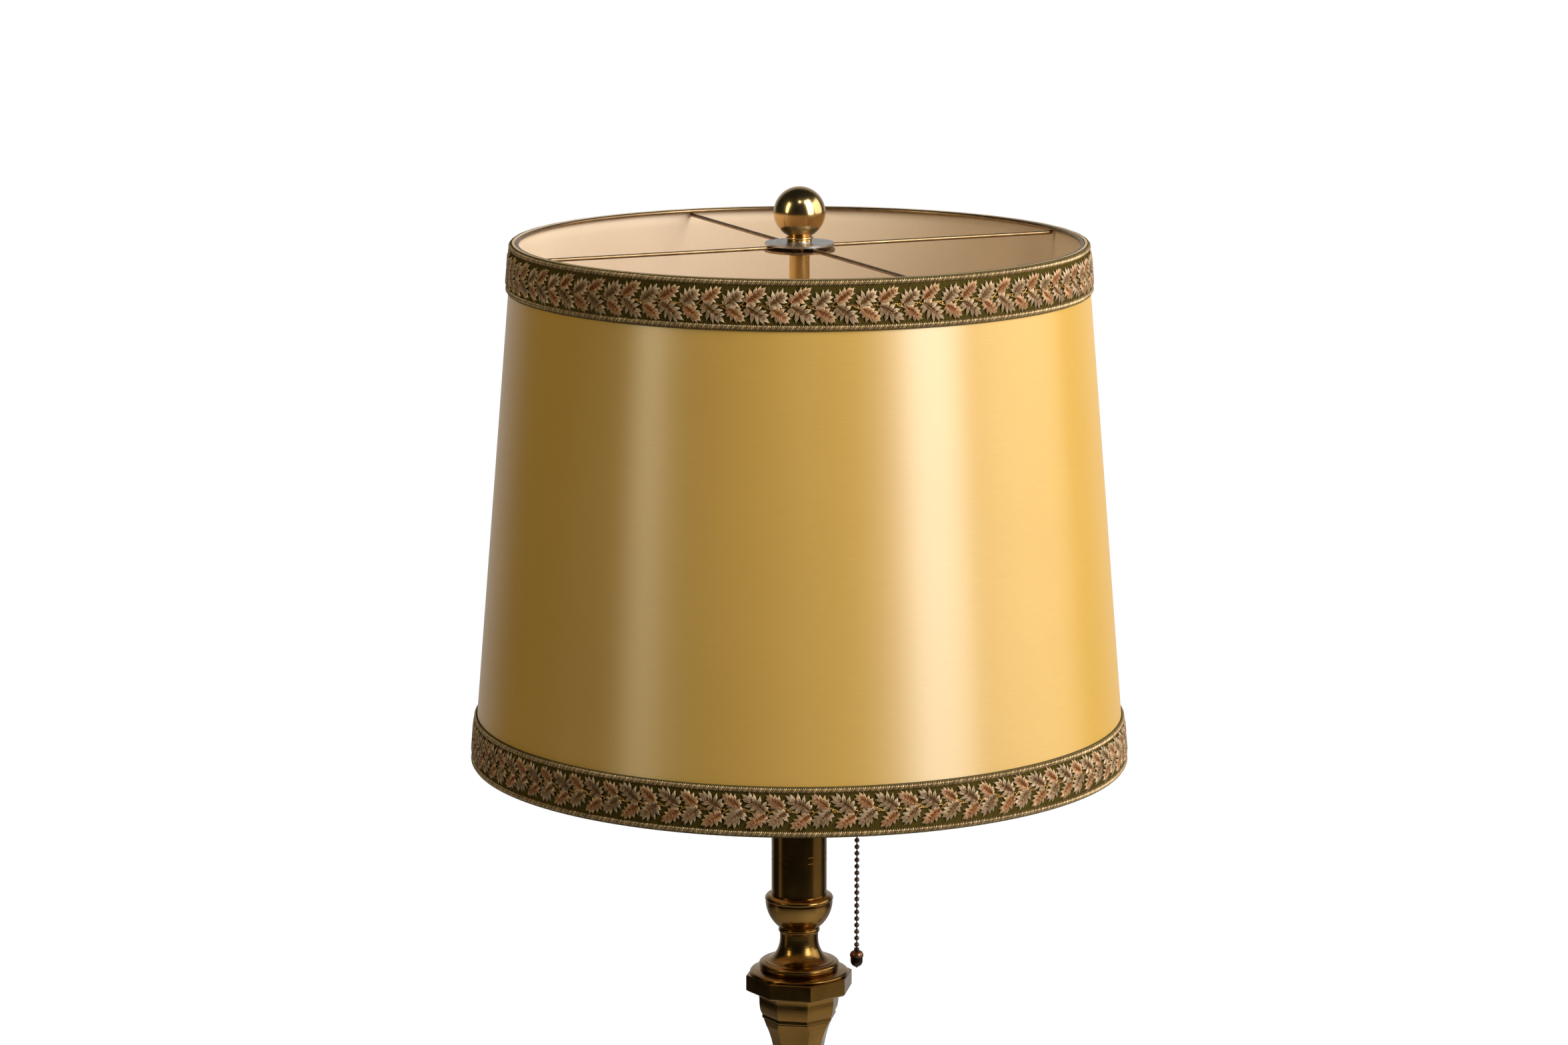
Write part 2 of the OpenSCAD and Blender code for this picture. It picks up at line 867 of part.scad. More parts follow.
// Four wires from the hub to the top ring
module spider_arms() {
    hub_r = 8;
    color(bronze)
        for (k = [0:3])
            rotate([0, 0, arm_turn + 90 * k])
                translate([hub_r, 0, rim_z - arm_drop])
                    rotate([0, 90, 0])
                        cylinder(h = ring_centre_r(rim_z) - hub_r, d = arm_d, $fn = 32);
}

module hub_disc_top() {
    color("silver")
        tube(hub_top_z, hub_t, hub_top_d / 2, stud_r + 0.5);
}

module hub_disc_bottom() {
    color(bronze)
        tube(hub_bottom_z, hub_t, hub_bottom_d / 2, stud_r + 0.5);
}

// ---------------------------------------------------------------- finial

// Thin friction washer held by the finial's foot. It rises with the finial and doesn't turn
module finial_washer() {
    color(steel)
        tube(hub_top_z + hub_t + fit_gap, finial_washer_t, 7.4, stud_r + thread_gap);
}

module finial() {
    z = finial_foot_z;
    neck_top = rim_z + ball_z - sqrt(ball_r * ball_r - 7 * 7) + 0.3;
    color(bright_brass)
        difference() {
            union() {
                turned(concat(
                    [[0, z], [7.9, z], [8.1, z + 0.5], [7.7, z + 1.1]],
                    ellipse_arc(7.2, z + 2.2, 1.3, 1.0, -65, 65, 7),
                    [[7.2, z + 3.3], [7.0, neck_top], [0, neck_top]]
                ));
                translate([0, 0, rim_z + ball_z])
                    sphere(r = ball_r);
            }
            translate([0, 0, z - cut])
                cylinder(h = rim_z + 11 - z + cut, r = stud_r + thread_gap);
        }
}

base_felt();
base_weight();
base_shell();
cord_bushing();
base_washer();
base_nut();
lower_pipe();
foot_block();
foot_bell();
lower_shaft();
shaft_ring();
pipe_coupling();
upper_pipe();
upper_shaft();
shaft_capital();
octagon_block();
bell_neck();
candle_cup();
candle_tube();
cluster_body();
cluster_cover();
cluster_nut();
riser_tube();
riser_stud();
supply_lead();
switch_housing();
switch_cover();
chain_spout();
switch_wheel();
wheel_pin();
chain_stub();
chain_joiner();
pull_chain();
chain_acorn();
socket_nipple(0);  // socket_nipple_rear
socket_nipple(1);  // socket_nipple_front
socket_cap(0);  // socket_cap_rear
socket_cap(1);  // socket_cap_front
socket_shell(0);  // socket_shell_rear
socket_shell(1);  // socket_shell_front
socket_block(0);  // socket_block_rear
socket_block(1);  // socket_block_front
screw_shell(0);  // screw_shell_rear
screw_shell(1);  // screw_shell_front
bulb_base(0);  // bulb_base_rear
bulb_base(1);  // bulb_base_front
bulb_glass(0);  // bulb_glass_rear
bulb_glass(1);  // bulb_glass_front
shade_panel();
shade_lining();
top_ring();
bottom_ring();
top_braid();
bottom_braid();
spider_arms();
hub_disc_top();
hub_disc_bottom();
finial();
finial_washer();
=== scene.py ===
"""Looks of the candlestick floor lamp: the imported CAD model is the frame, and everything here rides on it.

Lengths are metres in the CAD's own frame: +Z up, the lamp's front towards -Y, the pull chain towards +X.
"""

import json
import math
import random

import bpy
import numpy as np
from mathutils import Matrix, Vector


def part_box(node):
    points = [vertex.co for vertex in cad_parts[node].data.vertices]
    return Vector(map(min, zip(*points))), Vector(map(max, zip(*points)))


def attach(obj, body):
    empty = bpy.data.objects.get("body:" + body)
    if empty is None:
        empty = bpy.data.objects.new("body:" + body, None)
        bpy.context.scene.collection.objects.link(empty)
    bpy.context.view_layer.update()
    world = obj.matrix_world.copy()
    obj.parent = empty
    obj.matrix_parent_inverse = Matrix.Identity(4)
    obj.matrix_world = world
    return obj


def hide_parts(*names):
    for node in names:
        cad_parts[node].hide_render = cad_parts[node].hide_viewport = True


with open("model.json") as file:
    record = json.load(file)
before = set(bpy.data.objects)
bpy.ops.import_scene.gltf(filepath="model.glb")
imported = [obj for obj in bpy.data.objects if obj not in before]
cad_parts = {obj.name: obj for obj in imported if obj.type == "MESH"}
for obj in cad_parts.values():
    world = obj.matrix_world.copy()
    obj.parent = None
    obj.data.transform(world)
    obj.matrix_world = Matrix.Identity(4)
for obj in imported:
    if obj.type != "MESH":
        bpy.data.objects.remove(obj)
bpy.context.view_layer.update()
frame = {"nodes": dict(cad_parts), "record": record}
nodes = frame["nodes"]
MM = 0.001


# ------------------------------------------------------------------ places taken from the frame

shade_low, shade_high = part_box("shade_panel")
RIM_Z = shade_high.z
SHADE_BOTTOM_Z = shade_low.z
SHADE_BOTTOM_R = shade_high.x
PANEL_T = 1.0 * MM
LINING_T = 0.5 * MM
RING_GAP = 0.05 * MM
SHADE_TOP_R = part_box("top_ring")[1].x + RING_GAP + LINING_T + PANEL_T
braid_low, braid_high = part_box("top_braid")
BRAID_H = braid_high.z - braid_low.z
chain_low, chain_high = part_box("pull_chain")
acorn_low, acorn_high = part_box("chain_acorn")
CHAIN_X = (chain_low.x + chain_high.x) / 2
BEAD_R = (chain_high.x - chain_low.x) / 2


def panel_r(z):
    """Radius of the shade panel's outer face at height z."""
    return SHADE_BOTTOM_R + (SHADE_TOP_R - SHADE_BOTTOM_R) * (z - SHADE_BOTTOM_Z) / (RIM_Z - SHADE_BOTTOM_Z)


# ------------------------------------------------------------------ mesh helpers


def new_mesh(name, verts, faces, uvs=None, colors=None):
    """A smooth-shaded object from points in metres. uvs and colors are per vertex."""
    mesh = bpy.data.meshes.new(name)
    mesh.from_pydata([tuple(v) for v in verts], [], faces)
    loops = np.zeros(len(mesh.loops), np.int32)
    mesh.loops.foreach_get("vertex_index", loops)
    if uvs is not None:
        layer = mesh.uv_layers.new(name="local")
        layer.data.foreach_set("uv", np.asarray(uvs, np.float32)[loops].ravel())
    if colors is not None:
        layer = mesh.color_attributes.new(name="tint", type="FLOAT_COLOR", domain="POINT")
        layer.data.foreach_set("color", np.asarray(colors, np.float32).ravel())
    mesh.polygons.foreach_set("use_smooth", [True] * len(mesh.polygons))
    mesh.update()
    obj = bpy.data.objects.new(name, mesh)
    bpy.context.scene.collection.objects.link(obj)
    return obj


class Soup:
    """Points, faces and per-point data gathered from many small shapes into one mesh."""

    def __init__(self):
        self.points, self.faces, self.uvs, self.tints = [], [], [], []
        self.count = 0

    def add(self, points, faces, uvs=None, tint=(1, 1, 1, 1)):
        points = np.asarray(points, float)
        self.points.append(points)
        self.faces.extend(tuple(i + self.count for i in f) for f in faces)
        self.uvs.append(np.zeros((len(points), 2)) if uvs is None else np.asarray(uvs, float))
        tint = np.asarray(tint, float)
        self.tints.append(np.broadcast_to(tint, (len(points), 4)) if tint.ndim == 1 else tint)
        self.count += len(points)

    def build(self, name):
        points, uvs, tints = (np.concatenate(part) for part in (self.points, self.uvs, self.tints))
        return new_mesh(name, points, self.faces, uvs, tints)


def grid_faces(rows, cols, wrap_rows=False, wrap_cols=False):
    """Quads of a grid of rows x cols points, in row-major order."""
    faces = []
    for i in range(rows if wrap_rows else rows - 1):
        for j in range(cols if wrap_cols else cols - 1):
            a, b = i * cols + j, i * cols + (j + 1) % cols
            c, d = ((i + 1) % rows) * cols + (j + 1) % cols, ((i + 1) % rows) * cols + j
            faces.append((a, b, c, d))
    return faces


def revolve(name, outline, segments, wobble):
    """A closed ring-shaped solid from an outline of (radius, z) that goes up its outside and down its inside.

    wobble(angle, z) is added to the radius.
    """
    angles = np.arange(segments) * (2 * math.pi / segments)
    outline = np.asarray(outline, float)
    radius, z = outline[:, 0], outline[:, 1]
    r = radius[None, :] + wobble(angles[:, None], z[None, :])
    points = np.stack(
        [np.sin(angles)[:, None] * r, -np.cos(angles)[:, None] * r, np.broadcast_to(z, r.shape)], -1
    ).reshape(-1, 3)
    uvs = np.stack([np.repeat(angles / (2 * math.pi), len(outline)), np.tile(z, segments)], -1)
    return new_mesh(name, points, grid_faces(segments, len(outline), True, True), uvs)


def tube_points(path, radius, sides):
    """Rings of points round a path, and its faces with closed ends."""
    path = [Vector(p) for p in path]
    points, side = [], None
    for i, p in enumerate(path):
        ahead = (path[min(i + 1, len(path) - 1)] - path[max(i - 1, 0)]).normalized()
        if side is None:
            side = ahead.orthogonal().normalized()
        side = (side - ahead * side.dot(ahead)).normalized()
        up = ahead.cross(side)
        for k in range(sides):
            a = 2 * math.pi * k / sides
            points.append(p + (side * math.cos(a) + up * math.sin(a)) * radius)
    faces = grid_faces(len(path), sides, False, True)
    faces.append(tuple(reversed(range(sides))))
    faces.append(tuple(range((len(path) - 1) * sides, len(path) * sides)))
    return points, faces


# ------------------------------------------------------------------ material helpers


class Mat:
    """A node material with short calls for what the lamp's surfaces need."""

    # What a node takes as a setting, not on a socket
    SETTINGS = ("blend_type", "data_type", "wave_type", "bands_direction", "uv_map", "layer_name")

    def __init__(self, name, color, rough, metal=0.0, **sockets):
        self.mat = bpy.data.materials.new(name)
        self.mat.use_nodes = True
        self.tree = self.mat.node_tree
        self.shader = self.tree.nodes["Principled BSDF"]
        self.set("Base Color", (*color, 1))
        self.set("Roughness", rough)
        self.set("Metallic", metal)
        for key, value in sockets.items():
            self.set(key.replace("_", " "), value)

    def set(self, socket, value):
        self.shader.inputs[socket].default_value = value

    def node(self, kind, **inputs):
        made = self.tree.nodes.new("ShaderNode" + kind)
        for key, value in inputs.items():
            if key in self.SETTINGS:
                setattr(made, key, value)
            else:
                self.feed(made.inputs[key.replace("_", " ")], value)
        return made

    def feed(self, socket, value):
        if isinstance(value, bpy.types.NodeSocket):
            self.tree.links.new(value, socket)
        else:
            socket.default_value = value

    def link(self, output, socket):
        self.tree.links.new(output, self.shader.inputs[socket])

    def coords(self, scale=(1, 1, 1), uv=None):
        """Object coordinates, or the named UV map, scaled."""
        if uv:
            source = self.node("UVMap", uv_map=uv).outputs["UV"]
        else:
            source = self.node("TexCoord").outputs["Object"]
        return self.node("Mapping", Vector=source, Scale=scale).outputs["Vector"]

    def noise(self, scale, detail=3.0, rough=0.5, coords=None):
        coords = coords or self.coords()
        made = self.node("TexNoise", Vector=coords, Scale=scale, Detail=detail, Roughness=rough)
        return made.outputs["Fac"]

    def remap(self, value, low, high, to_low=0.0, to_high=1.0):
        made = self.node("MapRange", Value=value)
        for key, number in (("From Min", low), ("From Max", high), ("To Min", to_low), ("To Max", to_high)):
            made.inputs[key].default_value = number
        return made.outputs[0]

    def mix(self, factor, a, b, blend="MIX"):
        made = self.node("Mix", data_type="RGBA", blend_type=blend)
        self.feed(made.inputs[0], factor)
        for i, color in ((6, a), (7, b)):
            self.feed(made.inputs[i], (*color, 1) if isinstance(color, tuple) and len(color) == 3 else color)
        return made.outputs[2]

    def bump(self, height, depth, strength=1.0, under=None):
        """Bump of the given real depth in metres, over an earlier bump."""
        made = self.node("Bump", Height=height, Strength=strength)
        made.inputs["Distance"].default_value = depth
        if under is not None:
            self.feed(made.inputs["Normal"], under)
        return made.outputs[0]


# ------------------------------------------------------------------ camera, before everything that it sees

CAMERA_BACK = 2.793
CAMERA_ABOVE_RIM = 0.359
CAMERA_PITCH = 0.1892
CAMERA_LENS = 105.4
CAMERA_X = -0.0095


def make_camera():
    data = bpy.data.cameras.new("camera")
    data.lens = CAMERA_LENS
    data.sensor_width = 36
    data.clip_end = 60
    cam = bpy.data.objects.new("camera", data)
    cam.location = (CAMERA_X, -CAMERA_BACK, RIM_Z + CAMERA_ABOVE_RIM)
    cam.rotation_euler = (math.pi / 2 - CAMERA_PITCH, 0, 0)
    bpy.context.scene.collection.objects.link(cam)
    bpy.context.scene.camera = cam


# ------------------------------------------------------------------ pull chain, the only free cord

CHAIN_PITCH = 4.23 * MM
BEAD_HOLE = 0.06  # where a bead starts and ends, as part of the half turn from pole to pole
PIN_R = 0.42 * MM
PIN_INTO_BEAD = 0.35 * MM


def make_pull_chain():
    """Bead chain: balls joined by short pins, hanging straight from the joiner to the acorn."""
    soup = Soup()
    top, bottom = chain_high.z, acorn_high.z
    count = round((top - bottom) / CHAIN_PITCH)
    pitch = (top - bottom) / count
    rings, sides = 12, 20
    for i in range(count):
        centre = top - pitch * (i + 0.5)
        points = []
        for j in range(rings + 1):
            polar = math.pi * (BEAD_HOLE + (1 - 2 * BEAD_HOLE) * j / rings)
            for k in range(sides):
                a = 2 * math.pi * k / sides
                points.append((
                    CHAIN_X + BEAD_R * math.sin(polar) * math.cos(a),
                    BEAD_R * math.sin(polar) * math.sin(a),
                    centre - BEAD_R * math.cos(polar),
                ))
        faces = grid_faces(rings + 1, sides, False, True)
        faces.append(tuple(reversed(range(sides))))
        faces.append(tuple(range(rings * sides, (rings + 1) * sides)))
        soup.add(points, faces)
    for i in range(count + 1):
        z = top - pitch * i
        half = (pitch - 2 * BEAD_R) / 2 + PIN_INTO_BEAD
        low, high = max(z - half, bottom), min(z + half, top)
        path = [(CHAIN_X, 0, low + (high - low) * t) for t in (0, 0.5, 1)]
        soup.add(*tube_points(path, PIN_R, 10))
    chain = soup.build("bead_chain")
    chain.data.materials.append(chain_bronze())
    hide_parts("pull_chain")
    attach(chain, "pull_chain")


# ------------------------------------------------------------------ metals


def brushed(mat, along, depth, scale=2600):
    """Fine turning or drawing marks: noise stretched along one direction of the object's coordinates."""
    stretched = mat.coords(scale=along)
    return mat.bump(mat.noise(scale, 2.0, 0.6, stretched), depth)


def aged_brass(name="aged_brass", dark=(0.10, 0.042, 0.008), light=(0.34, 0.195, 0.055), rough=(0.17, 0.26),
               marks=(1, 1, 14)):
    """Lacquered brass gone brown: blotchy tone, darker spots, fine turning marks and a soft gloss."""
    mat = Mat(name, light, 0.27, 1.0)
    blotch = mat.noise(38, 4.0, 0.55)
    fine = mat.noise(420, 3.0, 0.6)
    tone = mat.mix(mat.remap(blotch, 0.3, 0.7), dark, light)
    tone = mat.mix(mat.remap(fine, 0.64, 0.8, 0, 0.4), tone, tuple(c * 0.5 for c in dark))
    mat.link(mat.mix(0.6, tone, light), "Base Color")
    mat.link(mat.remap(mat.noise(70, 3.0), 0.3, 0.7, *rough), "Roughness")
    under = brushed(mat, marks, 0.005 * MM)
    mat.link(mat.bump(mat.noise(55, 2.0), 0.012 * MM, 1.0, under), "Normal")
    return mat.mat


def polished_brass():
    mat = Mat("polished_brass", (0.83, 0.60, 0.28), 0.2, 1.0)
    worn = mat.remap(mat.noise(60, 3.0), 0.4, 0.75)
    mat.link(mat.mix(worn, (0.76, 0.53, 0.24), (0.56, 0.36, 0.14)), "Base Color")
    mat.link(mat.remap(mat.noise(90, 4.0, 0.6), 0.35, 0.75, 0.17, 0.26), "Roughness")
    mat.link(mat.bump(mat.noise(900, 2.0), 0.004 * MM), "Normal")
    return mat.mat


def bronze_wire():
    mat = Mat("bronze_wire", (0.30, 0.19, 0.10), 0.36, 1.0)
    mat.link(mat.mix(mat.noise(160, 4.0), (0.16, 0.10, 0.055), (0.46, 0.31, 0.16)), "Base Color")
    mat.link(mat.remap(mat.noise(200, 3.0), 0.3, 0.7, 0.28, 0.45), "Roughness")
    mat.link(mat.bump(mat.noise(700, 3.0), 0.03 * MM), "Normal")
    return mat.mat


def chain_bronze():
    mat = Mat("chain_bronze", (0.16, 0.10, 0.07), 0.3, 1.0)
    mat.link(mat.mix(mat.noise(260, 3.0), (0.085, 0.055, 0.045), (0.26, 0.17, 0.115)), "Base Color")
    mat.link(mat.remap(mat.noise(300, 2.0), 0.3, 0.7, 0.22, 0.4), "Roughness")
    return mat.mat


# Height of the acorn's cap above its tip
ACORN_CAP = 7.45 * MM


def acorn_bronze():
    """Copper-coloured cap over a dark body, told apart by height."""
    mat = Mat("acorn", (0.2, 0.1, 0.07), 0.32, 1.0)
    height = mat.node("SeparateXYZ", Vector=mat.node("TexCoord").outputs["Object"]).outputs["Z"]
    cap_z = acorn_low.z + ACORN_CAP
    cap = mat.remap(height, cap_z - 0.05 * MM, cap_z + 0.05 * MM)
    neck = mat.remap(height, acorn_high.z - 2.4 * MM, acorn_high.z - 1.2 * MM)
    tone = mat.mix(cap, (0.06, 0.042, 0.038), (0.30, 0.135, 0.075))
    tone = mat.mix(neck, tone, (0.14, 0.085, 0.055))
    specks = mat.remap(mat.noise(420, 3.0), 0.4, 0.7, 0, 0.35)
    mat.link(mat.mix(specks, tone, (0.09, 0.05, 0.035)), "Base Color")
    mat.link(mat.remap(mat.noise(300, 2.0), 0.3, 0.7, 0.24, 0.42), "Roughness")
    return mat.mat


def steel(name="steel", color=(0.56, 0.56, 0.55), rough=0.38):
    mat = Mat(name, color, rough, 1.0)
    mat.link(mat.mix(mat.noise(130, 4.0), tuple(c * 0.72 for c in color), color), "Base Color")
    mat.link(mat.remap(mat.noise(220, 3.0), 0.3, 0.7, rough - 0.08, rough + 0.1), "Roughness")
    mat.link(mat.bump(mat.noise(1300, 2.0), 0.008 * MM), "Normal")
    return mat.mat


def cast_iron():
    mat = Mat("cast_iron", (0.05, 0.05, 0.052), 0.62, 0.35)
    mat.link(mat.mix(mat.noise(60, 5.0), (0.035, 0.035, 0.037), (0.085, 0.075, 0.068)), "Base Color")
    mat.link(mat.bump(mat.noise(420, 5.0, 0.65), 0.35 * MM), "Normal")
    return mat.mat


# ------------------------------------------------------------------ the other small materials


def felt():
    mat = Mat("felt", (0.03, 0.075, 0.04), 0.95, 0.0, Sheen_Weight=0.5, Sheen_Roughness=0.5)
    mat.link(mat.mix(mat.noise(900, 4.0), (0.018, 0.045, 0.026), (0.055, 0.11, 0.062)), "Base Color")
    mat.link(mat.bump(mat.noise(1500, 4.0, 0.7), 0.5 * MM), "Normal")
    return mat.mat


def moulded(name, color, rough=0.45):
    mat = Mat(name, color, rough)
    mat.link(mat.mix(mat.noise(90, 3.0), tuple(c * 0.8 for c in color), color), "Base Color")
    mat.link(mat.bump(mat.noise(1100, 3.0), 0.02 * MM), "Normal")
    return mat.mat


def frosted_glass():
    """Inside-frosted envelope, seen from outside as a milky solid with a clear gloss."""
    mat = Mat("bulb_glass", (0.93, 0.92, 0.88), 0.55, 0.0, Coat_Weight=1.0, Coat_Roughness=0.04,
              Subsurface_Weight=0.35, Subsurface_Scale=0.01)
    mat.link(mat.mix(mat.noise(30, 2.0), (0.90, 0.89, 0.85), (0.96, 0.95, 0.92)), "Base Color")
    mat.link(mat.bump(mat.noise(2500, 2.0), 0.006 * MM), "Normal")
    return mat.mat


# ------------------------------------------------------------------ shade skin and lining


def satin_gold():
    """Gold satin on a stiff film: its floats run round the shade and spread highlights into upright bands."""
    mat = Mat("shade_satin", (0.86, 0.51, 0.10), 0.45, IOR=1.85, Specular_IOR_Level=1.0,
              Anisotropic=0.95, Anisotropic_Rotation=0.25)
    tangent = mat.node("Tangent")
    tangent.direction_type = "RADIAL"
    tangent.axis = "Z"
    mat.link(tangent.outputs[0], "Tangent")
    uv = mat.coords(uv="local")
    floats = mat.node("TexNoise", Vector=mat.node("Mapping", Vector=uv, Scale=(60, 1400, 1)).outputs[0],
                      Scale=1.0, Detail=3.0).outputs["Fac"]
    grain = mat.noise(900, 2.0, 0.6)
    wide = mat.noise(7, 2.0)
    tone = mat.mix(mat.remap(wide, 0.35, 0.65), (0.83, 0.495, 0.09), (0.88, 0.53, 0.105))
    tone = mat.mix(mat.remap(grain, 0.35, 0.65, 0, 0.35), tone, (0.90, 0.545, 0.125))
    mat.link(mat.mix(mat.remap(floats, 0.35, 0.65, 0, 0.2), tone, (0.74, 0.42, 0.07)), "Base Color")
    mat.link(mat.remap(grain, 0.3, 0.7, 0.42, 0.48), "Roughness")
    fine = mat.bump(grain, 0.012 * MM, 0.6, mat.bump(floats, 0.012 * MM, 0.5))
    mat.link(mat.bump(wide, 0.08 * MM, 0.4, fine), "Normal")
    return mat.mat


def lining_film():
    mat = Mat("lining", (0.84, 0.70, 0.56), 0.62)
    grain = mat.noise(1300, 3.0, 0.6)
    mat.link(mat.mix(mat.remap(grain, 0.3, 0.7), (0.90, 0.70, 0.50), (0.94, 0.76, 0.57)), "Base Color")
    mat.link(mat.bump(grain, 0.05 * MM), "Normal")
    return mat.mat


SHADE_ROWS = 30
SHADE_SEGMENTS = 384
SKIN_GAP = 0.01 * MM
UNEVEN = 0.04 * MM


def make_shade():
    heights = np.linspace(SHADE_BOTTOM_Z, RIM_Z, SHADE_ROWS + 1)

    def unevenness(a, z):
        fade = np.sin(math.pi * (z - SHADE_BOTTOM_Z) / (RIM_Z - SHADE_BOTTOM_Z))
        return fade * UNEVEN * (np.sin(5 * a + 9 * z) + 0.6 * np.sin(11 * a - 17 * z + 1.3))

    def sleeve(name, outer, inner):
        outside = [(panel_r(z) + outer, z) for z in heights]
        inside = [(panel_r(z) + inner, z) for z in heights[::-1]]
        return revolve(name, outside + inside, SHADE_SEGMENTS, unevenness)

    skin = sleeve("shade_skin", 0, -PANEL_T)
    skin.data.materials.append(satin_gold())
    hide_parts("shade_panel")
    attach(skin, "shade")
    lining = sleeve("shade_lining_film", -PANEL_T - SKIN_GAP, -PANEL_T - LINING_T)
    lining.data.materials.append(lining_film())
    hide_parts("shade_lining")
    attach(lining, "shade")


# ------------------------------------------------------------------ braid


def thread_material(name, low, high, rough, metal, scale, depth, gloss=0.5):
    """Twisted or floated thread: lines across the local U, tinted point by point. The lines also darken the
    tone in the grooves between twists as painted shade.
    """
    mat = Mat(name, high, rough, metal, Specular_IOR_Level=gloss)
    uv = mat.coords(uv="local")
    lines = mat.node("TexWave", Vector=uv, Scale=scale, Distortion=1.5, Detail=2.0, Detail_Scale=2.0,
                     wave_type="BANDS", bands_direction="X").outputs["Fac"]
    tint = mat.node("VertexColor", layer_name="tint").outputs["Color"]
    # Painted shade: the tone goes towards low in the grooves between twists, beside the bump.
    tone = mat.mix(mat.remap(lines, 0.1, 0.8), low, high)
    mat.link(mat.mix(1.0, tone, tint, "MULTIPLY"), "Base Color")
    mat.link(mat.bump(lines, depth), "Normal")
    return mat.mat


def braid_ground():
    """Ribbed olive ground: ribs run up the band, crossed by fine green and brown picks. The grooves between
    ribs are darkened as painted shade.
    """
    mat = Mat("braid", (0.12, 0.10, 0.02), 1.0, 0.0, Specular_IOR_Level=0.0)
    uv = mat.coords(uv="local")
    ribs = mat.node("TexWave", Vector=uv, Scale=0.36, Distortion=0.4, Detail=1.0,
                    wave_type="BANDS", bands_direction="X").outputs["Fac"]
    picks = mat.node("TexWave", Vector=uv, Scale=0.3, Distortion=0.6, Detail=1.0,
                     wave_type="BANDS", bands_direction="Y").outputs["Fac"]
    patch = mat.noise(0.45, 3.0, 0.5, uv)
    tone = mat.mix(mat.remap(patch, 0.35, 0.65), (0.112, 0.068, 0.012), (0.060, 0.046, 0.010))
    # Painted shade: the tone darkens in the grooves between ribs, beside the bump.
    tone = mat.mix(mat.remap(ribs, 0.2, 0.9, 0.35, 1.0), (0.05, 0.045, 0.012), tone)
    mat.link(mat.mix(mat.remap(picks, 0.5, 1.0, 0, 0.35), tone, (0.15, 0.10, 0.02)), "Base Color")
    under = mat.bump(ribs, 0.07 * MM)
    mat.link(mat.bump(picks, 0.05 * MM, 0.8, under), "Normal")
    return mat.mat


class Band:
    """Maps a flat strip of braid, u along it and v up it in millimetres, onto the shade.

    A turned band is the same braid sewn on upside down: u runs to the left and v downwards.
    """

    def __init__(self, bottom_z, turned):
        self.bottom = bottom_z
        self.turned = turned
        self.height = BRAID_H / MM
        self.length = 2 * math.pi * panel_r(bottom_z + BRAID_H / 2) / MM
        slope = (SHADE_BOTTOM_R - SHADE_TOP_R) / (RIM_Z - SHADE_BOTTOM_Z)
        self.out = Vector((1, slope)).normalized()

    def place(self, u, v, h):
        """Points in metres for arrays u, v and height h above the shade's skin, all in millimetres."""
        u, v, h = (np.asarray(x, float) for x in (u, v, h))
        if self.turned:
            u, v = -u, self.height - v
        turn = 2 * math.pi * u / self.length
        z = self.bottom + v * MM + h * MM * self.out.y
        r = panel_r(self.bottom + v * MM) + h * MM * self.out.x
        return np.stack([np.sin(turn) * r, -np.cos(turn) * r, z + 0 * r], -1)


# Millimetres: the ground's thickness, the borders' distance from an edge, height and stitch length, and the
# selvedge cords' distance from an edge, radius and loop length
GROUND_H = 0.9
ROPE_V = 2.15
ROPE_HEIGHT = 3.0
ROPE_PITCH = 1.1
EDGE_V = 0.55
EDGE_R = 0.42
EDGE_PITCH = 1.5
GROUND_COLUMNS = 480
EDGE_COLUMNS = 1440


def braid_sleeve(band, name, material):
    """The band's ground cloth, a closed sleeve with softly rounded edges."""
    height = band.height
    face = [(0.0, 0.05), (0.15, 0.55), (0.5, GROUND_H)]
    face += [(v, GROUND_H) for v in np.linspace(1.5, height - 1.5, 10)]
    face += [(height - 0.5, GROUND_H), (height - 0.15, 0.55), (height, 0.05)]
    face += [(height, 0.0), (height / 2, 0.0), (0.0, 0.0)]
    face = np.array(face)
    u = np.linspace(0, band.length, GROUND_COLUMNS, endpoint=False)
    grid_u, grid_v = np.meshgrid(u, face[:, 0], indexing="ij")
    grid_h = np.broadcast_to(face[:, 1], grid_u.shape)
    points = band.place(grid_u, grid_v, grid_h).reshape(-1, 3)
    uvs = np.stack([grid_u, grid_v], -1).reshape(-1, 2)
    obj = new_mesh(name, points, grid_faces(GROUND_COLUMNS, len(face), True, True), uvs)
    obj.data.materials.append(material)
    return obj


